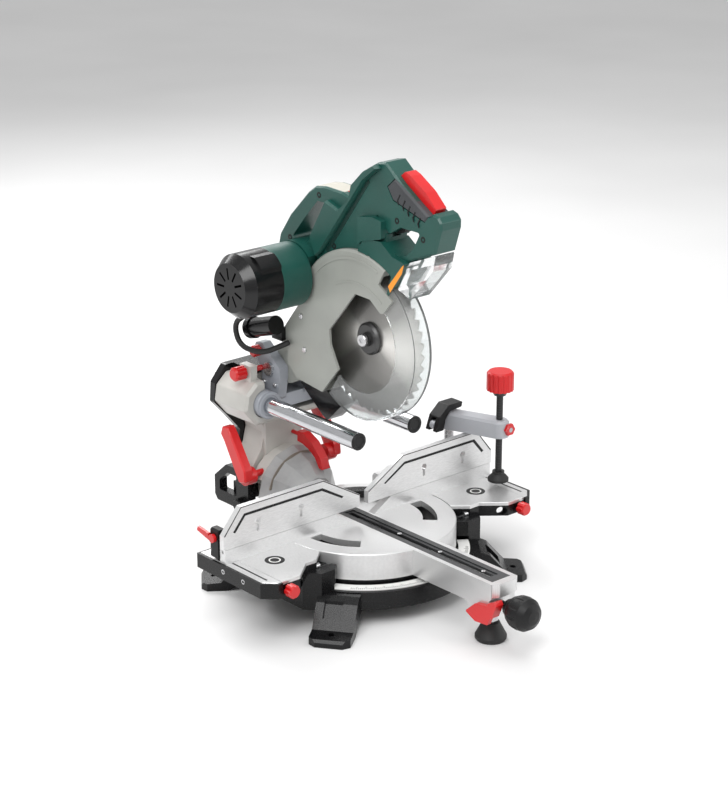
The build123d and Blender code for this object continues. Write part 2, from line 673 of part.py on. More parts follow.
def belt_case():
    """Black belt cover on the right with the ring that the motor bolts to."""
    near = (Pos(MOTOR_Y, MOTOR_Z) * Circle(30)).edges()
    far = (Pos(HUB_Y, HUB_Z) * Circle(44)).edges()
    plan = make_hull(near + far)
    case = extrude(Plane.YZ.offset(GUARD_RIGHT + 3.2) * plan, amount=20, dir=(1, 0, 0))
    case = chamfer(case.faces().sort_by(Axis.X)[-1].edges(), 4)
    inner = make_hull(
        (Pos(MOTOR_Y, MOTOR_Z) * Circle(26)).edges() + (Pos(HUB_Y, HUB_Z) * Circle(40)).edges()
    )
    case -= extrude(Plane.YZ.offset(GUARD_RIGHT) * inner, amount=19.2, dir=(1, 0, 0))
    neck = rod_x(MOTOR_R + 1, MOTOR_FRONT + 0.2, GUARD_RIGHT + 4, MOTOR_Y, MOTOR_Z)
    neck -= across(GUARD_SIDE, -60, 60)
    neck -= rod_x(27, MOTOR_FRONT - 1, 40, MOTOR_Y, MOTOR_Z)
    wall = rod_x(33, GUARD_RIGHT - 6, GUARD_RIGHT + 4, MOTOR_Y, MOTOR_Z)
    wall -= rod_x(27, 0, 40, MOTOR_Y, MOTOR_Z)
    wall -= across(GUARD_SIDE, -60, GUARD_RIGHT + 0.2)
    return case + neck + wall


def motor_housing():
    can = rod_x(MOTOR_R, MOTOR_SPLIT, MOTOR_FRONT, MOTOR_Y, MOTOR_Z)
    can = chamfer(can.faces().sort_by(Axis.X)[-1].edges(), 2)
    return can - rod_x(MOTOR_R - 4, MOTOR_SPLIT - 1, MOTOR_FRONT + 1, MOTOR_Y, MOTOR_Z)


def motor_cap():
    cap = rod_x(MOTOR_R, MOTOR_END, MOTOR_SPLIT - 0.1, MOTOR_Y, MOTOR_Z)
    cap = chamfer(cap.faces().sort_by(Axis.X)[0].edges(), 14, 11)
    cap += block(-120, MOTOR_SPLIT - 0.1, MOTOR_Y - 40, MOTOR_Y - 10, MOTOR_Z + 12, MOTOR_Z + 44) & (
        rod_x(MOTOR_R + 4, -130, MOTOR_SPLIT - 0.1, MOTOR_Y, MOTOR_Z)
    )
    cap -= rod_x(MOTOR_R - 5, MOTOR_END + 8, MOTOR_SPLIT + 1, MOTOR_Y, MOTOR_Z) & (
        rod_x(MOTOR_R - 5, MOTOR_END + 14, MOTOR_SPLIT + 1, MOTOR_Y, MOTOR_Z)
    )
    for k in range(9):
        a = math.tau * k / 9
        cap -= Pos(MOTOR_END, MOTOR_Y, MOTOR_Z) * Rot(math.degrees(a), 0, 0) * Pos(0, 20, 0) * (
            Box(60, 16, 3.2)
        )
    cap += rod_x(8, MOTOR_END, MOTOR_END + 14, MOTOR_Y, MOTOR_Z)
    return cap


HEAD_OUTER = [
    (168, 456), (160, 486), (137, 518), (97, 558), (80, 570), (61, 573), (25, 572), (4, 567),
    (-2, 591), (-28, 615), (-49, 627), (-65, 630), (-78, 620), (-96, 606), (-150, 572), (-158, 578),
    (-168, 575), (-174, 568), (-174, 558), (-163, 524), (-108, 502), (-102, 486), (-86, 459),
    (-72, 440), (-56, 429), (20, 440), (78, 441), (120, 458),
]
REAR_HOLE = [(58, 550), (76, 550), (104, 520), (130, 490), (120, 470), (92, 492), (66, 514), (54, 536)]
FRONT_HOLE = [(-36, 568), (-73, 534), (-95, 547), (-134, 547), (-120, 522), (-106, 510), (-91, 506),
              (-66, 518), (-67, 532), (-51, 543)]
SPINE = [(61, 482), (-30, 600), (-58, 621), (-49, 625), (-28, 613), (-4, 590), (2, 567), (25, 549),
         (50, 557), (84, 500), (72, 472)]
SWITCH_BOX = [(-19, 548), (-47, 553), (-66, 551), (-66, 526), (-25, 515), (-17, 506)]
LOWER_SHOE = [(-61, 462), (-17, 500), (-30, 520), (-64, 522), (-88, 506), (-112, 502), (-102, 486),
              (-86, 459), (-72, 440), (-56, 429)]
HEAD_HALF = 19.0


def head_housing():
    """Green body over the guard with the carry handle and the D-shaped main handle."""
    body = across(HEAD_OUTER, -HEAD_HALF, HEAD_HALF, 3)
    body = chamfer(body.faces().sort_by(Axis.X)[0].edges(), 2.5)
    body = chamfer(body.faces().sort_by(Axis.X)[-1].edges(), 2.5)
    body -= across(REAR_HOLE, -40, 40, 4)
    body -= across(FRONT_HOLE, -40, 40, 3)
    spine = across(SPINE, -24, 24)
    spine += extrude(Plane.YZ.offset(-24) * outline(SPINE), amount=5, dir=(-1, 0, 0), taper=20)
    shoe = across(LOWER_SHOE, -27, 24, 3)
    box = across(SWITCH_BOX, -28, 24, 2)
    body += spine + shoe + box
    body -= rod_x(GUARD_R + 0.4, -60, GUARD_RIGHT + 0.4, HUB_Y, HUB_Z) & across(
        [(-40, 340), polar(300, 114.5), (-40, 700), (300, 700), (300, 340)], -60, 60)
    body -= rod_x(POCKET_R + 0.5, POCKET_LEFT - 0.4, 60, HUB_Y, HUB_Z)
    body -= across([(-62, 462.4), (-90, 444.4), (-71, 420), (0, 420), (-40, 500)], -60,
                   GUARD_RIGHT + 0.4)
    body -= rod_x(MOTOR_R + 1.3, -60, GUARD_RIGHT + 4.4, MOTOR_Y, MOTOR_Z)
    body -= rod_x(33.4, 0, 60, MOTOR_Y, MOTOR_Z)
    body -= across(belt_band(), GUARD_RIGHT, 60)
    body -= across(grip_outline(), -40, 40)
    body -= bar_room()
    body -= block(-8.2, 8.2, 18, 50, 562, 590)
    body -= across(TRIGGER_ROOM, -7.3, 7.3)
    return body


def belt_band():
    """Straight-sided cover outline with a little room round it."""
    return [(MOTOR_Y + 16, MOTOR_Z - 26), (MOTOR_Y - 14, MOTOR_Z + 27.5), (HUB_Y - 18, HUB_Z + 41.5),
            (HUB_Y + 24, HUB_Z - 38)]


def grip_outline():
    return [(-84, 612), (-68, 598), (-80, 581), (-142, 563), (-150, 573)]


BAR = [(-81, 611), (-93, 621), (-104, 617), (-133, 600), (-154, 581), (-149, 573), (-95, 603)]
TRIGGER_ROOM = [(-44, 575), (-60, 590), (-112, 566), (-112, 535), (-60, 525), (-44, 555)]


def bar_room():
    """Pocket that the lock bar sits in, with room to press it."""
    seat = extrude(Plane.YZ.offset(-9.4) * offset(outline(BAR), 0.4), amount=18.8, dir=(1, 0, 0))
    return seat + Pos(0, 0.5, -0.85) * seat + Pos(0, 1.0, -1.7) * seat


def handle_grip():
    grip = across(grip_outline(), -HEAD_HALF - 1, HEAD_HALF + 1)
    grip = chamfer(grip.faces().sort_by(Axis.X)[0].edges(), 2.5)
    grip = chamfer(grip.faces().sort_by(Axis.X)[-1].edges(), 2.5)
    return grip - bar_room() - across(TRIGGER_ROOM, -7.3, 7.3)


def lock_bar():
    bar = across(BAR, -9, 9)
    return chamfer(bar.edges().filter_by(Axis.X), 1)


def trigger():
    body = across([(-47, 564), (-64, 536), (-73, 531), (-88, 536), (-96, 548), (-92, 556)], -7, 7, 1.5)
    return body + rod_x(4, -7, 7, -52, 566)


def light_button():
    button = block(-8, 8, 19, 49, 563.5, 572)
    return chamfer(button.edges().filter_by(Axis.Z), 3)


def dust_chute():
    side = [(117, 274), (68, 237), (58, 232), (49, 240), (27, 262), (44, 292), (58, 276.5),
            (112, 278.5)]
    chute = across(side, -19, 9, 2)
    chute -= pocket() + rod_x(POCKET_R + 0.5, -30, 30, HUB_Y, HUB_Z)
    chute -= across([(34, 256), (56, 272), (92, 268), (60, 242)], -14, 4)
    return [chute, dust_port()]


def dust_port():
    """Spout for an extractor hose on the left of the chop arm."""
    place = Pos(GUARD_LEFT - 18, 165, 352) * Rot(-107, 0, 0)
    spout = place * (Cylinder(14, 58) + Pos(0, 0, 26) * Cylinder(16, 10))
    spout += block(GUARD_LEFT - 8, GUARD_LEFT, 138, 160, 334, 354)
    return spout - place * Pos(0, 0, 8) * Cylinder(11.5, 58)


def front_shield():
    side = [(-109, 500.5), (-162, 522), (-157, 499), (-134, 473), (-114, 451), (-88.5, 459),
            (-103.5, 485)]
    shield = across(side, -17, 17, 1.5)
    shield -= across(HEAD_OUTER, -30, 30) + across(LOWER_SHOE, -30, 30)
    return shield - across([(-114, 492), (-148, 505), (-128, 478), (-112, 462), (-104, 470)], -15, 15)


CABLE_R = 4.0
CABLE_ROUTE = [(-70, 144.7, 404.6), (-70, 165, 380.4), (-70, 204, 352), (-70, 192, 322),
               (-60, 154, 316), (-31, 127, 334)]


def corner_radii(route):
    """The largest arc that each corner's two runs allow."""
    radii = []
    for a, b, c in zip(route, route[1:], route[2:]):
        come, leave = Vector(*b) - Vector(*a), Vector(*c) - Vector(*b)
        half_turn = math.radians(come.get_angle(leave)) / 2
        radii.append(0.45 * min(come.length, leave.length) / math.tan(half_turn))
    return radii


def power_cable():
    """Short loop from the motor to the hinge, held at both ends."""
    path = FilletPolyline(*CABLE_ROUTE, radius=corner_radii(CABLE_ROUTE))
    return sweep(Plane(path @ 0, z_dir=path % 0) * Circle(CABLE_R), path)


# ---------------------------------------------------------------- drive
def arbor():
    shaft = rod_x(10, -12, 32, HUB_Y, HUB_Z) + rod_x(BLADE_BORE, -1.25, 1.25, HUB_Y, HUB_Z)
    outer = rod_x(23, -8, -1.25, HUB_Y, HUB_Z)
    outer = chamfer(outer.faces().sort_by(Axis.X)[0].edges(), 3)
    inner = rod_x(23, 1.25, 6, HUB_Y, HUB_Z)
    screw = rod_x(9, -10, -8, HUB_Y, HUB_Z) + rod_x(6.5, -14, -10, HUB_Y, HUB_Z)
    socket = across([polar(3.6, 60 * k) for k in range(6)], -15, -11)
    pulley = rod_x(28, 19, 30, HUB_Y, HUB_Z)
    return shaft + outer + inner + screw + pulley - socket


def blade():
    """Tooth outline made by repeating one tooth round the rim."""
    teeth = 40
    rim = []
    for k in range(teeth):
        a = 360 * k / teeth
        rim.append(polar(BLADE_R, a))
        rim.append(polar(BLADE_R - 1.5, a + 2.5))
        rim.append(polar(BLADE_R - 6.5, a + 6.6))
        rim.append(polar(BLADE_R - 6.5, a + 7.8))
    disc = across(rim, -1.2, 1.2)
    return disc - rod_x(BLADE_BORE, -3, 3, HUB_Y, HUB_Z)


GUARD_START = 125.0
GUARD_END = 305.0
LOWER_R = 113.5


def lower_guard():
    """Clear swinging guard: near wall, far wall on a pivot ring, and the rim between them."""
    near = sector(74, LOWER_R, GUARD_START, GUARD_END, -22, -19.5)
    far = sector(25, LOWER_R, GUARD_START, GUARD_END, 6.6, 9.2)
    rim = sector(LOWER_R - 2.5, LOWER_R, GUARD_START, GUARD_END, -22, 9.2)
    ring = rod_x(31, 6.6, 9.2, HUB_Y, HUB_Z) - rod_x(24.5, 0, 20, HUB_Y, HUB_Z)
    return near + far + rim + ring


def armature():
    rotor = rod_x(24, -122, -46, MOTOR_Y, MOTOR_Z)
    fan = rod_x(36, -42, -36, MOTOR_Y, MOTOR_Z)
    return rotor + fan + rod_x(6, -129, 32, MOTOR_Y, MOTOR_Z) + rod_x(12, 19, 30, MOTOR_Y, MOTOR_Z)


def drive_belt():
    def loop(extra):
        near = (Pos(MOTOR_Y, MOTOR_Z) * Circle(12 + extra)).edges()
        far = (Pos(HUB_Y, HUB_Z) * Circle(28 + extra)).edges()
        return make_hull(near + far)

    return extrude(Plane.YZ.offset(20) * (loop(3.2) - loop(GAP)), amount=9, dir=(1, 0, 0))


# ---------------------------------------------------------------- write every piece
PARTS = {
    "base_frame": base_frame,
    "table_tops": table_tops,
    "mitre_scale": mitre_scale,
    "lower_fences": lower_fences,
    "fence_bridge": fence_bridge,
    "fence_posts": fence_posts,
    "pivot_bolt": pivot_bolt,
    "left_extension_plate": lambda: left(extension_plate()),
    "right_extension_plate": extension_plate,
    "left_end_rail": lambda: left(end_rail()),
    "right_end_rail": end_rail,
    "left_extension_rods": lambda: [left(rod) for rod in extension_rods()],
    "right_extension_rods": extension_rods,
    "left_extension_knob": lambda: left(extension_knob()),
    "right_extension_knob": extension_knob,
    "left_upper_fence": lambda: left(upper_fence()),
    "right_upper_fence": upper_fence,
    "left_fence_lever": lambda: left(fence_lever()),
    "right_fence_lever": fence_lever,
    "clamp_post": clamp_post,
    "clamp_arm": clamp_arm,
    "clamp_lever": clamp_lever,
    "clamp_spindle": clamp_spindle,
    "clamp_pad": clamp_pad,
    "turntable": turntable,
    "kerf_insert": kerf_insert,
    "tilt_bracket": tilt_bracket,
    "tilt_shaft": tilt_shaft,
    "detent_lever": detent_lever,
    "mitre_knob": mitre_knob,
    "foot_pad": foot_pad,
    "foot_stud": foot_stud,
    "column": column,
    "column_cover": column_cover,
    "guide_tubes": guide_tubes,
    "bevel_levers": bevel_levers,
    "bevel_stop_lever": bevel_stop_lever,
    "slide_lock_knob": slide_lock_knob,
    "rear_bracket": rear_bracket,
    "carriage": carriage,
    "slide_bushes": slide_bushes,
    "hinge_pin": hinge_pin,
    "transport_pin": transport_pin,
    "upper_guard": upper_guard,
    "belt_case": belt_case,
    "motor_housing": motor_housing,
    "motor_cap": motor_cap,
    "head_housing": head_housing,
    "handle_grip": handle_grip,
    "lock_bar": lock_bar,
    "trigger": trigger,
    "light_button": light_button,
    "dust_chute": dust_chute,
    "front_shield": front_shield,
    "power_cable": power_cable,
    "arbor": arbor,
    "blade": blade,
    "lower_guard": lower_guard,
    "armature": armature,
    "drive_belt": drive_belt,
}

os.makedirs("parts", exist_ok=True)
for name, make in PARTS.items():
    made = make()
    if isinstance(made, list):
        made = Compound(children=made)
    export_step(made, f"parts/{name}.step")
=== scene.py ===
import math

import bmesh
import bpy
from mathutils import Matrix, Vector


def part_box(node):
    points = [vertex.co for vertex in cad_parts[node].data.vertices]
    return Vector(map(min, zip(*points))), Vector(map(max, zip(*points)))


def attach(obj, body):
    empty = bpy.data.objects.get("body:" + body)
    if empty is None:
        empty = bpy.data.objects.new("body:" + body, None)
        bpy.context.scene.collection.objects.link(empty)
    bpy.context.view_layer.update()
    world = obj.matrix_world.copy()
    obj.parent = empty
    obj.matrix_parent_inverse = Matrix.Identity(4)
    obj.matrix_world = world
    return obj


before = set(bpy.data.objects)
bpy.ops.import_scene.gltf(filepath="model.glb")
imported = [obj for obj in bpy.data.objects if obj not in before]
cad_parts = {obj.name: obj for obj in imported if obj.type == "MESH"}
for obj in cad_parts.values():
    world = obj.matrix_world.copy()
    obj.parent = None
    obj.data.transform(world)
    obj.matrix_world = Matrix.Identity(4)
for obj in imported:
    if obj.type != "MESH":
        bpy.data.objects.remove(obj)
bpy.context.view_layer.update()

MM = 0.001
HUB = (0.0, -15.0, 369.0)  # blade axis with the head raised, in millimetres


# ---------------------------------------------------------------- materials
class Shader:
    """Node tree of one material, with short names for the nodes it is built from."""

    def __init__(self, name):
        self.material = bpy.data.materials.new(name)
        self.material.use_nodes = True
        self.tree = self.material.node_tree
        self.bsdf = self.tree.nodes["Principled BSDF"]
        coords = self.tree.nodes.new("ShaderNodeTexCoord")
        self.place = coords.outputs["Object"]

    def node(self, kind, inputs=(), **settings):
        made = self.tree.nodes.new(kind)
        for key, value in settings.items():
            setattr(made, key, value)
        for key, value in dict(inputs).items():
            if isinstance(value, bpy.types.NodeSocket):
                self.tree.links.new(value, made.inputs[key])
            else:
                made.inputs[key].default_value = value
        return made

    def noise(self, scale, detail=3.0, stretch=(1, 1, 1)):
        vector = self.node("ShaderNodeMapping", {"Vector": self.place, "Scale": stretch})
        texture = self.node(
            "ShaderNodeTexNoise",
            {"Vector": vector.outputs[0], "Scale": scale, "Detail": detail},
        )
        return texture.outputs["Fac"]

    def ramp(self, fac, stops):
        made = self.node("ShaderNodeValToRGB", {"Fac": fac})
        ramp = made.color_ramp
        ramp.elements[0].position, ramp.elements[0].color = stops[0]
        ramp.elements[1].position, ramp.elements[1].color = stops[-1]
        for position, color in stops[1:-1]:
            ramp.elements.new(position).color = color
        return made.outputs["Color"]

    def remap(self, fac, low, high):
        made = self.node("ShaderNodeMapRange", {"Value": fac, "To Min": low, "To Max": high})
        return made.outputs["Result"]

    def bump(self, height, strength, distance=0.0004):
        made = self.node(
            "ShaderNodeBump", {"Height": height, "Strength": strength, "Distance": distance}
        )
        self.tree.links.new(made.outputs["Normal"], self.bsdf.inputs["Normal"])

    def to(self, socket, value):
        if isinstance(value, bpy.types.NodeSocket):
            self.tree.links.new(value, self.bsdf.inputs[socket])
        else:
            self.bsdf.inputs[socket].default_value = value


def shade(color, factor):
    return (*(min(1.0, c * factor) for c in color), 1.0)


def moulded(name, color, rough=0.4, grain=1400, bump=0.25, vary=0.18, coat=0.0, shine=0.5):
    """Paint or plastic: slow colour drift, uneven gloss and a fine surface texture."""
    s = Shader(name)
    drift = s.noise(14, 4)
    fine = s.noise(grain, 2)
    s.to("Base Color", s.ramp(drift, [(0.3, shade(color, 1 - vary)), (0.7, shade(color, 1 + vary))]))
    s.to("Roughness", s.remap(fine, rough - 0.06, rough + 0.08))
    s.bsdf.inputs["Coat Weight"].default_value = coat
    s.bsdf.inputs["Coat Roughness"].default_value = 0.12
    s.bsdf.inputs["Specular IOR Level"].default_value = shine
    s.bump(fine, bump)
    return s.material


def brushed(name, color, rough=0.3, stretch=(4, 60, 60), scale=40, metal=1.0, bump=0.15):
    """Machined metal with fine lines along the axis that is stretched least."""
    s = Shader(name)
    lines = s.noise(scale, 4, stretch)
    s.to("Base Color", s.ramp(lines, [(0.3, shade(color, 0.86)), (0.7, shade(color, 1.08))]))
    s.to("Roughness", s.remap(lines, rough - 0.08, rough + 0.1))
    s.bsdf.inputs["Metallic"].default_value = metal
    s.bump(lines, bump, 0.0001)
    return s.material


def turned_metal(name, color, centre, axis, rough, metal, rings=260.0, contrast=0.12):
    """Metal faced on a lathe: faint rings about an axis, broken up by noise."""
    s = Shader(name)
    shift = [-c * MM for c in centre]
    vector = s.node("ShaderNodeMapping", {"Vector": s.place, "Location": shift})
    wave = s.node(
        "ShaderNodeTexWave",
        {"Vector": vector.outputs[0], "Scale": rings, "Distortion": 1.2, "Detail": 2.0},
        wave_type="RINGS",
        rings_direction=axis,
    )
    stops = [(0.0, shade(color, 1 - contrast)), (1.0, shade(color, 1.04))]
    s.to("Base Color", s.ramp(wave.outputs["Fac"], stops))
    s.to("Roughness", s.remap(s.noise(60, 3), rough - 0.06, rough + 0.08))
    s.bsdf.inputs["Metallic"].default_value = metal
    s.bump(wave.outputs["Fac"], 0.12, 0.0001)
    return s.material


def clear(name, tint, rough):
    """Clear plastic with long faint scratches."""
    s = Shader(name)
    scratch = s.noise(90, 4, (1, 1, 8))
    s.to("Base Color", s.ramp(scratch, [(0.3, shade(tint, 0.94)), (0.7, shade(tint, 1.0))]))
    s.to("Roughness", s.remap(scratch, rough, rough + 0.1))
    s.bsdf.inputs["Transmission Weight"].default_value = 0.94
    s.bsdf.inputs["IOR"].default_value = 1.3
    s.bump(scratch, 0.05)
    return s.material


def two_tone(name, low, high, level, rough):
    """One moulded piece over another: the colour changes at a height above the bench."""
    s = Shader(name)
    z = s.node("ShaderNodeSeparateXYZ", {"Vector": s.place}).outputs["Z"]
    above = s.node("ShaderNodeMath", {0: z, 1: level * MM}, operation="GREATER_THAN").outputs[0]
    fine = s.noise(1200, 2)
    s.to("Base Color", s.ramp(above, [(0.4, (*low, 1.0)), (0.6, (*high, 1.0))]))
    s.to("Roughness", s.remap(fine, rough - 0.05, rough + 0.1))
    s.bump(fine, 0.2)
    return s.material


def saw_steel(name, color, centre, sheen_rays=2):
    """Ground steel disc in the YZ plane: faint rings, and a painted sheen of bright rays out from the
    centre.
    """
    s = Shader(name)
    split = s.node(
        "ShaderNodeMapping", {"Vector": s.place, "Location": [-c * MM for c in centre]}
    ).outputs[0]
    part = s.node("ShaderNodeSeparateXYZ", {"Vector": split})
    angle = s.node(
        "ShaderNodeMath", {0: part.outputs["Z"], 1: part.outputs["Y"]}, operation="ARCTAN2"
    ).outputs[0]
    turns = s.node("ShaderNodeMath", {0: angle, 1: float(sheen_rays)}, operation="MULTIPLY").outputs[0]
    wave = s.node("ShaderNodeMath", {0: turns}, operation="COSINE").outputs[0]
    fac = s.node(
        "ShaderNodeMapRange", {"Value": wave, "From Min": -1.0, "From Max": 1.0}
    ).outputs["Result"]
    # Painted sheen: the base colour turns dark and bright by angle about the hub, standing in for light
    # reflected by the steel.
    s.to("Base Color", s.ramp(fac, [(0.0, shade(color, 0.42)), (0.62, shade(color, 0.62)),
                                    (0.97, shade(color, 1.5)), (1.0, shade(color, 1.65))]))
    rings = s.node(
        "ShaderNodeTexWave",
        {"Vector": split, "Scale": 320.0, "Distortion": 0.6, "Detail": 2.0},
        wave_type="RINGS",
        rings_direction="X",
    )
    s.to("Roughness", s.remap(rings.outputs["Fac"], 0.26, 0.4))
    s.bsdf.inputs["Metallic"].default_value = 0.9
    s.bump(rings.outputs["Fac"], 0.1, 0.0001)
    return s.material


RED = (0.60, 0.006, 0.008)
GREEN = (0.006, 0.066, 0.052)
SILVER = (0.72, 0.72, 0.72)

LOOKS = {
    "table": brushed("table", SILVER, 0.34, (60, 4, 60), 40, 0.75),
    "disc": turned_metal("disc", SILVER, (0, 0, 0), "Z", 0.34, 0.7, 240.0, 0.10),
    "fence": brushed("fence", (0.74, 0.74, 0.74), 0.36, (4, 60, 60), 40, 0.6),
    "casting": moulded("casting", (0.52, 0.51, 0.48), 0.36, 900, 0.4, 0.10, 0.2),
    "guard": moulded("guard", (0.30, 0.31, 0.285), 0.36, 1500, 0.3, 0.08, 0.2),
    "carriage": moulded("carriage", (0.36, 0.38, 0.42), 0.32, 700, 0.5, 0.12, 0.2),
    "dome": moulded("dome", (0.33, 0.33, 0.33), 0.3, 900, 0.3, 0.3, 0.2),
    "base": moulded("base", (0.004, 0.004, 0.0045), 0.26, 800, 0.35, 0.2, 0.0, 0.3),
    "gloss": moulded("gloss", (0.004, 0.004, 0.0045), 0.2, 500, 0.08, 0.2, 0.0, 0.4),
    "satin": moulded("satin", (0.007, 0.007, 0.0075), 0.42, 1500, 0.4, 0.2, 0.0, 0.3),
    "green": moulded("green", GREEN, 0.36, 1700, 0.45, 0.12, 0.1),
    # Darker copy of the housing green, used as painted shade along ridges, grooves and creases of the
    # head.
    "shaded_green": moulded("shaded_green", (0.003, 0.028, 0.022), 0.4, 1700, 0.45, 0.12, 0.1),
    "red": moulded("red", RED, 0.32, 900, 0.25, 0.1, 0.3),
    "rubber": moulded("rubber", (0.05, 0.053, 0.058), 0.6, 900, 0.7, 0.2),
    "cable": moulded("cable", (0.012, 0.012, 0.012), 0.55, 900, 0.3, 0.2),
    "steel": brushed("steel", (0.62, 0.62, 0.63), 0.26, (20, 20, 20), 30),
    "chrome": brushed("chrome", (0.62, 0.63, 0.65), 0.12, (60, 3, 60), 40, 1.0, 0.04),
    "blade": saw_steel("blade", (0.50, 0.49, 0.47), HUB),
    "dark_steel": brushed("dark_steel", (0.09, 0.09, 0.09), 0.4, (20, 20, 20), 30, 0.8),
    "insert": moulded("insert", (0.035, 0.036, 0.038), 0.45, 1500, 0.4, 0.2),
    "clamp": moulded("clamp", (0.42, 0.43, 0.46), 0.32, 900, 0.3, 0.08, 0.2),
    "clear": clear("clear", (0.93, 0.95, 0.95), 0.04),
    "ink": moulded("ink", (0.01, 0.01, 0.01), 0.5, 900, 0.05, 0.2),
    "white": moulded("white", (0.80, 0.80, 0.78), 0.4, 900, 0.1, 0.04),
    "beige": moulded("beige", (0.44, 0.42, 0.36), 0.45, 900, 0.2, 0.06),
    "orange": moulded("orange", (0.86, 0.30, 0.02), 0.4, 900, 0.05, 0.05),
    "brown": moulded("brown", (0.22, 0.19, 0.16), 0.4, 900, 0.1, 0.1),
    "clamp_screw": two_tone("clamp_screw", (0.014, 0.014, 0.015), RED, 244.0, 0.34),
}

SIDES = ("left", "right")
SIGNED = (("left", -1), ("right", 1))
NODE_LOOKS = {
    "base_frame": "base", "table_tops": "table", "mitre_scale": "white", "lower_fences": "fence",
    "fence_bridge": "base", "fence_posts": "satin", "pivot_bolt": "steel",
    "turntable": "disc", "kerf_insert": "insert", "tilt_bracket": "dome", "tilt_shaft": "steel",
    "detent_lever": "red", "mitre_knob": "satin", "foot_pad": "cable", "foot_stud": "steel",
    "column": "casting", "column_cover": "gloss", "guide_tubes": "chrome",
    "bevel_levers": "red", "bevel_stop_lever": "red", "slide_lock_knob": "red",
    "rear_bracket": "base", "carriage": "carriage", "slide_bushes": "satin",
    "hinge_pin": "steel", "transport_pin": "red", "upper_guard": "guard", "belt_case": "green",
    "motor_housing": "green", "motor_cap": "gloss", "head_housing": "green",
    "handle_grip": "rubber", "lock_bar": "red", "trigger": "satin", "light_button": "red",
    "dust_chute": "gloss", "front_shield": "clear", "power_cable": "cable",
    "arbor": "dark_steel", "blade": "blade", "lower_guard": "clear", "armature": "steel",
    "drive_belt": "cable", "clamp_post": "steel", "clamp_arm": "clamp", "clamp_lever": "satin",
    "clamp_spindle": "clamp_screw", "clamp_pad": "cable",
}
for side in SIDES:
    NODE_LOOKS[f"{side}_extension_plate"] = "table"
    NODE_LOOKS[f"{side}_end_rail"] = "base"
    NODE_LOOKS[f"{side}_extension_rods"] = "steel"
    NODE_LOOKS[f"{side}_extension_knob"] = "red"
    NODE_LOOKS[f"{side}_upper_fence"] = "fence"
    NODE_LOOKS[f"{side}_fence_lever"] = "red"

for node, look in NODE_LOOKS.items():
    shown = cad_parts[node]
    shown.data.materials.clear()
    shown.data.materials.append(LOOKS[look])


# ---------------------------------------------------------------- mesh pieces
def piece(name, mesh, body, look, bevel=0.0):
    """One detail piece from a bmesh in millimetres, riding on a CAD body."""
    bmesh.ops.scale(mesh, vec=(MM, MM, MM), verts=mesh.verts)
    bmesh.ops.recalc_face_normals(mesh, faces=mesh.faces)
    data = bpy.data.meshes.new(name)
    mesh.to_mesh(data)
    mesh.free()
    made = bpy.data.objects.new(name, data)
    bpy.context.scene.collection.objects.link(made)
    data.materials.append(LOOKS[look])
    if bevel:
        edge = made.modifiers.new("edge", "BEVEL")
        edge.width = bevel * MM
        edge.segments = 2
        edge.limit_method = "ANGLE"
    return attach(made, body)


def slab(mesh, points, place, low, high):
    """Adds a prism: place(a, b, h) puts outline point (a, b) at height h."""
    rings = [[mesh.verts.new(place(a, b, h)) for a, b in points] for h in (low, high)]
    mesh.faces.new(rings[0])
    mesh.faces.new(list(reversed(rings[1])))
    for k in range(len(points)):
        n = (k + 1) % len(points)
        mesh.faces.new([rings[0][k], rings[1][k], rings[1][n], rings[0][n]])


def on_x(a, b, h):
    return (h, a, b)


def on_y(a, b, h):
    return (a, h, b)


def on_z(a, b, h):
    return (a, b, h)


def flat(name, points, place, low, high, body, look, bevel=0.3):
    """One prism as a piece of its own."""
    mesh = bmesh.new()
    slab(mesh, points, place, low, high)
    return piece(name, mesh, body, look, bevel)


def hexagonal(angle):
    """Radius of a unit hexagon in this direction."""
    return math.cos(math.pi / 6) / math.cos(angle % (math.pi / 3) - math.pi / 6)


def lathe(mesh, profile, centre, normal, steps=24, socket=0):
    """Adds a turned shape. The last `socket` rings of the profile are six-sided."""
    turn = Vector(normal).to_track_quat("Z", "Y").to_matrix()
    rings = []
    for index, (r, h) in enumerate(profile):
        six = index >= len(profile) - socket
        ring = []
        for k in range(steps):
            angle = math.tau * k / steps
            reach = r * (hexagonal(angle) if six else 1.0)
            local = Vector((reach * math.cos(angle), reach * math.sin(angle), h))
            ring.append(mesh.verts.new(Vector(centre) + turn @ local))
        rings.append(ring)
    mesh.faces.new(rings[0])
    mesh.faces.new(rings[-1])
    for low, high in zip(rings, rings[1:]):
        for k in range(steps):
            n = (k + 1) % steps
            mesh.faces.new([low[k], low[n], high[n], high[k]])


def screws(name, places, normal, r, h, body, look):
    """Socket-head screws, each standing h proud of its place."""
    mesh = bmesh.new()
    profile = [(r, -0.3), (r, h * 0.7), (r * 0.86, h), (r * 0.5, h), (r * 0.48, h * 0.35)]
    for centre in places:
        lathe(mesh, profile, centre, normal, socket=2)
    return piece(name, mesh, body, look)


def ring_arc(name, centre, r0, r1, start, end, place, low, high, body, look, steps=40):
    """Part of a flat ring between two radii, from one angle to another in degrees."""
    angles = [math.radians(start + (end - start) * k / steps) for k in range(steps + 1)]
    inner = [(centre[0] + r0 * math.cos(a), centre[1] + r0 * math.sin(a)) for a in angles]
    outer = [(centre[0] + r1 * math.cos(a), centre[1] + r1 * math.sin(a)) for a in angles]
    return flat(name, inner + outer[::-1], place, low, high, body, look, 0.0)


def ticks(name, centre, r_end, lengths, degrees, step, place, low, high, body):
    """Printed graduations along an arc: every fifth is longer and every tenth longest."""
    mesh = bmesh.new()
    for k in range(degrees[0], degrees[1] + 1, step):
        length = lengths[0] if k % 10 == 0 else lengths[1] if k % 5 == 0 else lengths[2]
        a = math.radians(k)
        along, side = (math.cos(a), math.sin(a)), (-math.sin(a) * 0.35, math.cos(a) * 0.35)
        corners = [(r_end, -1), (r_end - length, -1), (r_end - length, 1), (r_end, 1)]
        points = [
            (centre[0] + r * along[0] + s * side[0], centre[1] + r * along[1] + s * side[1])
            for r, s in corners
        ]
        slab(mesh, points, place, low, high)
    return piece(name, mesh, body, "ink")


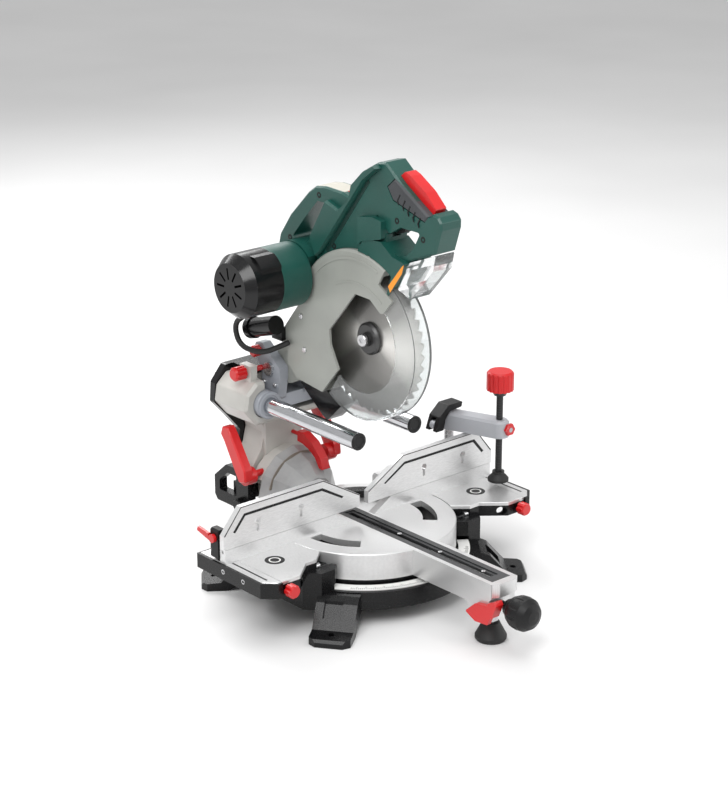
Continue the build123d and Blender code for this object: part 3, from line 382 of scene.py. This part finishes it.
def low_corner(node):
    return [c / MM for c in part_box(node)[0]]


def high_corner(node):
    return [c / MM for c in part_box(node)[1]]


# ---------------------------------------------------------------- base, tables and fences
TABLE_Z = high_corner("table_tops")[2]
SCALE_Z = high_corner("mitre_scale")[2]
BADGE_X, BADGE_Y = 190, -32

ticks("mitre_graduations", (0, 0), 150, (9, 7, 4.5), (-138, -42), 1, on_z, SCALE_Z - 0.1,
      SCALE_Z + 0.15, "base")
flat("mitre_pointer", [(-4, -136), (0, -143.5), (4, -136)], on_z, SCALE_Z + 0.3, SCALE_Z + 1.6,
     "turntable", "red")

for side, sign in SIGNED:
    body = f"{side}_extension"
    line = [(sign * 238.4, -77), (sign * 241, -77), (sign * 241, -2), (sign * 238.4, -2)]
    plate_z = high_corner(f"{side}_extension_plate")[2]
    flat(f"{side}_table_line", line, on_z, plate_z - 0.4, plate_z + 0.15, body, "satin", 0.0)
    rail_x = low_corner("left_end_rail")[0] if sign < 0 else high_corner("right_end_rail")[0]
    places = [(rail_x - sign * 0.3, 1, 85), (rail_x - sign * 0.3, -43, 85)]
    screws(f"{side}_rail_screws", places, (sign, 0, 0), 4.2, 0.3, body, "steel")
    mesh = bmesh.new()
    badge = (sign * BADGE_X, BADGE_Y, TABLE_Z)
    profile = [(14, -0.3), (14, 0.1), (12.6, 0.25), (12.4, 0.05), (0.1, 0.05)]
    lathe(mesh, profile, badge, (0, 0, 1), 40)
    piece(f"{side}_table_badge", mesh, "base", "satin")
    mesh = bmesh.new()
    lathe(mesh, [(8.5, 0), (8.5, 0.3), (6.5, 0.3), (6.5, 0)], badge, (0, 0, 1), 40)
    piece(f"{side}_table_mark", mesh, "base", "white")

INLAY = [(38, 138), (41, 136), (78, 157), (214, 157),
         (232, 136), (236, 138), (216.5, 161), (77, 161)]
RIM = [(8.4, 133), (75, 171.6), (222, 171.6), (251.4, 136),
       (250, 135), (221.4, 170.4), (75.4, 170.4), (8.6, 131.6)]
for side, sign in SIGNED:
    for part, points, low, high in (("inlay", INLAY, 0.5, 1.5), ("rim", RIM, 0.05, 0.4)):
        placed = [(sign * x, z) for x, z in points]
        flat(f"{side}_fence_{part}", placed, on_y, low, high, f"{side}_fence", "satin", 0.0)

mesh = bmesh.new()
NUT = [(9.6, 0.6), (9.6, 4.6), (8.6, 6.2), (4, 6.2), (3.6, 5.4)]
lathe(mesh, NUT, (235, -51.5, 187), (0, -1, 0), 24, len(NUT))
piece("clamp_end_nut", mesh, "clamp_swing_arm", "red")

screws("insert_screws", [(0, -76, TABLE_Z), (0, -160, TABLE_Z), (0, -246, TABLE_Z)], (0, 0, 1),
       3.2, 0.5, "turntable", "steel")

# ---------------------------------------------------------------- bevel column and tubes
TUBES_LOW, TUBES_HIGH = low_corner("guide_tubes"), high_corner("guide_tubes")
TUBE_R = (TUBES_HIGH[2] - TUBES_LOW[2]) / 2
TUBE_Z = TUBES_LOW[2] + TUBE_R
TUBE_X = TUBES_HIGH[0] - TUBE_R
BARREL_Y = low_corner("carriage")[1] + 0.2
mesh = bmesh.new()
for x in (TUBES_LOW[0] + TUBE_R, TUBES_HIGH[0] - TUBE_R):
    profile = [(TUBE_R - 0.1, -1), (TUBE_R - 0.1, 1.2), (TUBE_R - 1.2, 2.4), (TUBE_R - 4, 2.4),
               (TUBE_R - 5, 1.2), (0.1, 1.2)]
    lathe(mesh, profile, (x, TUBES_LOW[1], TUBE_Z), (0, -1, 0), 40)
piece("tube_caps", mesh, "tilting_column", "satin")

COVER_Y = high_corner("column_cover")[1]
COVER_SCREWS = [(x, COVER_Y, z) for x in (-72, 72) for z in (240, 266)]
COVER_SCREWS += [(x, COVER_Y, 158) for x in (-36, 36)]
screws("cover_screws", COVER_SCREWS, (0, 1, 0), 3.4, 0.8, "tilting_column", "steel")
for k in range(5):
    x = -32 + 16 * k
    bar = [(x - 3, 190), (x + 3, 190), (x + 3, 262), (x - 3, 262)]
    flat(f"cover_rib_{k}", bar, on_y, COVER_Y - 0.5, COVER_Y + 1.4, "tilting_column", "gloss", 0.8)

DOME_Y = low_corner("tilt_bracket")[1]
ring_arc("bevel_scale", (0, TABLE_Z), 55, 61, 14, 166, on_y, DOME_Y + 38, DOME_Y + 39,
         "turntable", "brown")

screws("carriage_bolts", [(-30, 160, 246), (30, 160, 246), (-30, 178, 246), (30, 178, 246)],
       (0, 0, 1), 3.4, 3, "slide_carriage", "steel")
screws("ear_bolts", [(-34, 180, 262), (-34, 156, 262)], (-1, 0, 0), 3.6, 2.6,
       "slide_carriage", "steel")
for side, sign in SIGNED:
    ring = bmesh.new()
    profile = [(20.2, 0), (20.2, 0.8), (18.6, 1.4), (15.6, 1.4), (14.8, 0.2)]
    lathe(ring, profile, (sign * TUBE_X, BARREL_Y, TUBE_Z), (0, -1, 0), 40)
    piece(f"{side}_barrel_ring", ring, "slide_carriage", "carriage")

# ---------------------------------------------------------------- head
HEAD_X = 18.6  # seats of the screws on either side of the head
GRIP_X = 20.1
FACET_X = 19.2
HOLES = [(41.2, 492.6), (72.6, 558.7), (136.9, 485.2), (-88.2, 554.7), (-139.5, 539.4)]
BOLTS = [(-60.5, 499.0), (95.5, 457.7)]
for side, sign in SIGNED:
    screws(f"{side}_head_screws", [(sign * HEAD_X, y, z) for y, z in HOLES], (sign, 0, 0), 4.4, 0.8,
           "head", "satin")
    screws(f"{side}_head_bolts", [(sign * HEAD_X, y, z) for y, z in BOLTS], (sign, 0, 0), 3.2, 1.2,
           "head", "steel")
SHOE_X = -27.0  # side of the raised shoe under the front handle
STICKER = [(-80, 464), (-108, 498), (-111, 500), (-107, 487), (-84, 456)]
flat("head_sticker", STICKER, on_x, SHOE_X - 0.2, SHOE_X + 0.3, "head", "orange", 0.0)
for k in range(5):
    y, z = -96 - 10 * k, 591 - 5.8 * k
    rib = [(y, z), (y + 1.6, z + 1), (y + 6.5, z - 8),
           (y + 4.5, z - 13), (y + 3, z - 13.5), (y + 4.6, z - 8)]
    for side, sign in SIGNED:
        flat(f"{side}_grip_rib_{k}", rib, on_x, sign * GRIP_X - 0.4, sign * GRIP_X + 0.4,
             "head", "satin", 0.0)

BELT_X = high_corner("belt_case")[0]
BELT_SCREWS = [(134, 446), (92, 462), (102, 418), (-44, 386), (-4, 332), (14, 396)]
screws("belt_screws", [(BELT_X, y, z) for y, z in BELT_SCREWS], (1, 0, 0), 3.4, 0.8, "head", "steel")
# Ridge and flute strips in the darker green: painted shade along the ridge and in the flute of the belt
# case.
RIDGE = [(112, 452), (108, 458), (-24, 394), (-20, 388)]
flat("belt_ridge", RIDGE, on_x, BELT_X - 0.3, BELT_X + 1.2, "head", "shaded_green", 0.5)
FLUTE = [(118, 437), (115, 443), (-12, 381), (-9, 375)]
flat("belt_flute", FLUTE, on_x, BELT_X - 0.3, BELT_X + 1.2, "head", "shaded_green", 0.5)

STRIP = [(80, 570.2), (61, 573.2), (25, 572.2), (19, 570), (25, 566), (60, 567.5), (77, 565.5)]
flat("carry_strip", STRIP, on_x, -15, 15, "head", "beige", 0.6)
# Facet strips in the darker green: a painted shade line along the crease of the head housing.
EDGE = [(58, 484), (-30, 600), (-34, 597), (54, 480)]
for side, sign in SIGNED:
    flat(f"{side}_head_facet", EDGE, on_x, sign * FACET_X - 0.4, sign * FACET_X + 0.4, "head",
         "shaded_green", 0.0)

mesh = bmesh.new()
ARBOR_END = (low_corner("arbor")[0] + 0.5, HUB[1], HUB[2])
lathe(mesh, [(9, 0), (9, 4), (8, 5), (4, 5), (3.8, 2)], ARBOR_END, (-1, 0, 0), 24, 2)
piece("arbor_bolt", mesh, "saw_blade", "steel")

GUARD_X = low_corner("upper_guard")[0]
ring_arc("guard_ridge", HUB[1:], 116, 120, 42, 112, on_x, GUARD_X - 0.8, GUARD_X + 0.3, "head", "guard")
ring_arc("guard_lip", HUB[1:], 84, 86.5, 60, 128, on_x, GUARD_X - 0.6, GUARD_X + 0.3, "head", "guard")
screws("guard_bolts", [(GUARD_X, 103, 378), (GUARD_X, 96, 330)], (-1, 0, 0), 4, 2, "head", "steel")


# ---------------------------------------------------------------- floor, light and camera
CAMERA_AT = (-1.94119, -2.22508, 1.33695)
CAMERA_YAW, CAMERA_PITCH = -41.1, 19.8
SENSOR = 36.0
LENS = 110.665385


def floor():
    mesh = bmesh.new()
    bmesh.ops.create_grid(mesh, x_segments=8, y_segments=8, size=20.0)
    data = bpy.data.meshes.new("floor")
    mesh.to_mesh(data)
    mesh.free()
    made = bpy.data.objects.new("floor", data)
    bpy.context.scene.collection.objects.link(made)
    s = Shader("floor")
    stops = [(0.3, (0.74, 0.74, 0.74, 1)), (0.7, (0.78, 0.78, 0.78, 1))]
    s.to("Base Color", s.ramp(s.noise(2, 2), stops))
    s.bsdf.inputs["Roughness"].default_value = 0.7
    data.materials.append(s.material)


def softbox(name, location, target, size, energy):
    light = bpy.data.lights.new(name, "AREA")
    light.shape = "RECTANGLE"
    light.size, light.size_y = size
    light.energy = energy
    made = bpy.data.objects.new(name, light)
    made.location = location
    aim = Vector(target) - Vector(location)
    made.rotation_euler = aim.to_track_quat("-Z", "Y").to_euler()
    bpy.context.scene.collection.objects.link(made)


def camera():
    """The viewpoint: from the front left, 19.8 degrees above the horizon."""
    yaw, pitch = math.radians(CAMERA_YAW), math.radians(CAMERA_PITCH)
    level = math.cos(pitch)
    back = Vector((math.sin(yaw) * level, -math.cos(yaw) * level, math.sin(pitch)))
    data = bpy.data.cameras.new("camera")
    data.sensor_width = SENSOR
    data.sensor_fit = "HORIZONTAL"
    data.lens = LENS
    made = bpy.data.objects.new("camera", data)
    made.location = CAMERA_AT
    made.rotation_euler = (-back).to_track_quat("-Z", "Y").to_euler()
    bpy.context.scene.collection.objects.link(made)
    bpy.context.scene.camera = made


floor()
softbox("key", (-1.6, -1.0, 2.2), (0, 0, 0.25), (1.4, 1.4), 42)
softbox("fill", (1.8, -1.8, 1.2), (0, 0, 0.3), (1.6, 1.6), 14)
softbox("rim", (0.6, 2.0, 1.8), (0, 0, 0.35), (1.6, 1.2), 40)
softbox("top", (0, -0.2, 2.6), (0, 0, 0.2), (2.0, 2.0), 24)
world = bpy.data.worlds.new("studio")
world.use_nodes = True
world.node_tree.nodes["Background"].inputs["Color"].default_value = (1, 1, 1, 1)
world.node_tree.nodes["Background"].inputs["Strength"].default_value = 0.62
bpy.context.scene.world = world
bpy.context.scene.view_settings.view_transform = "Standard"
camera()
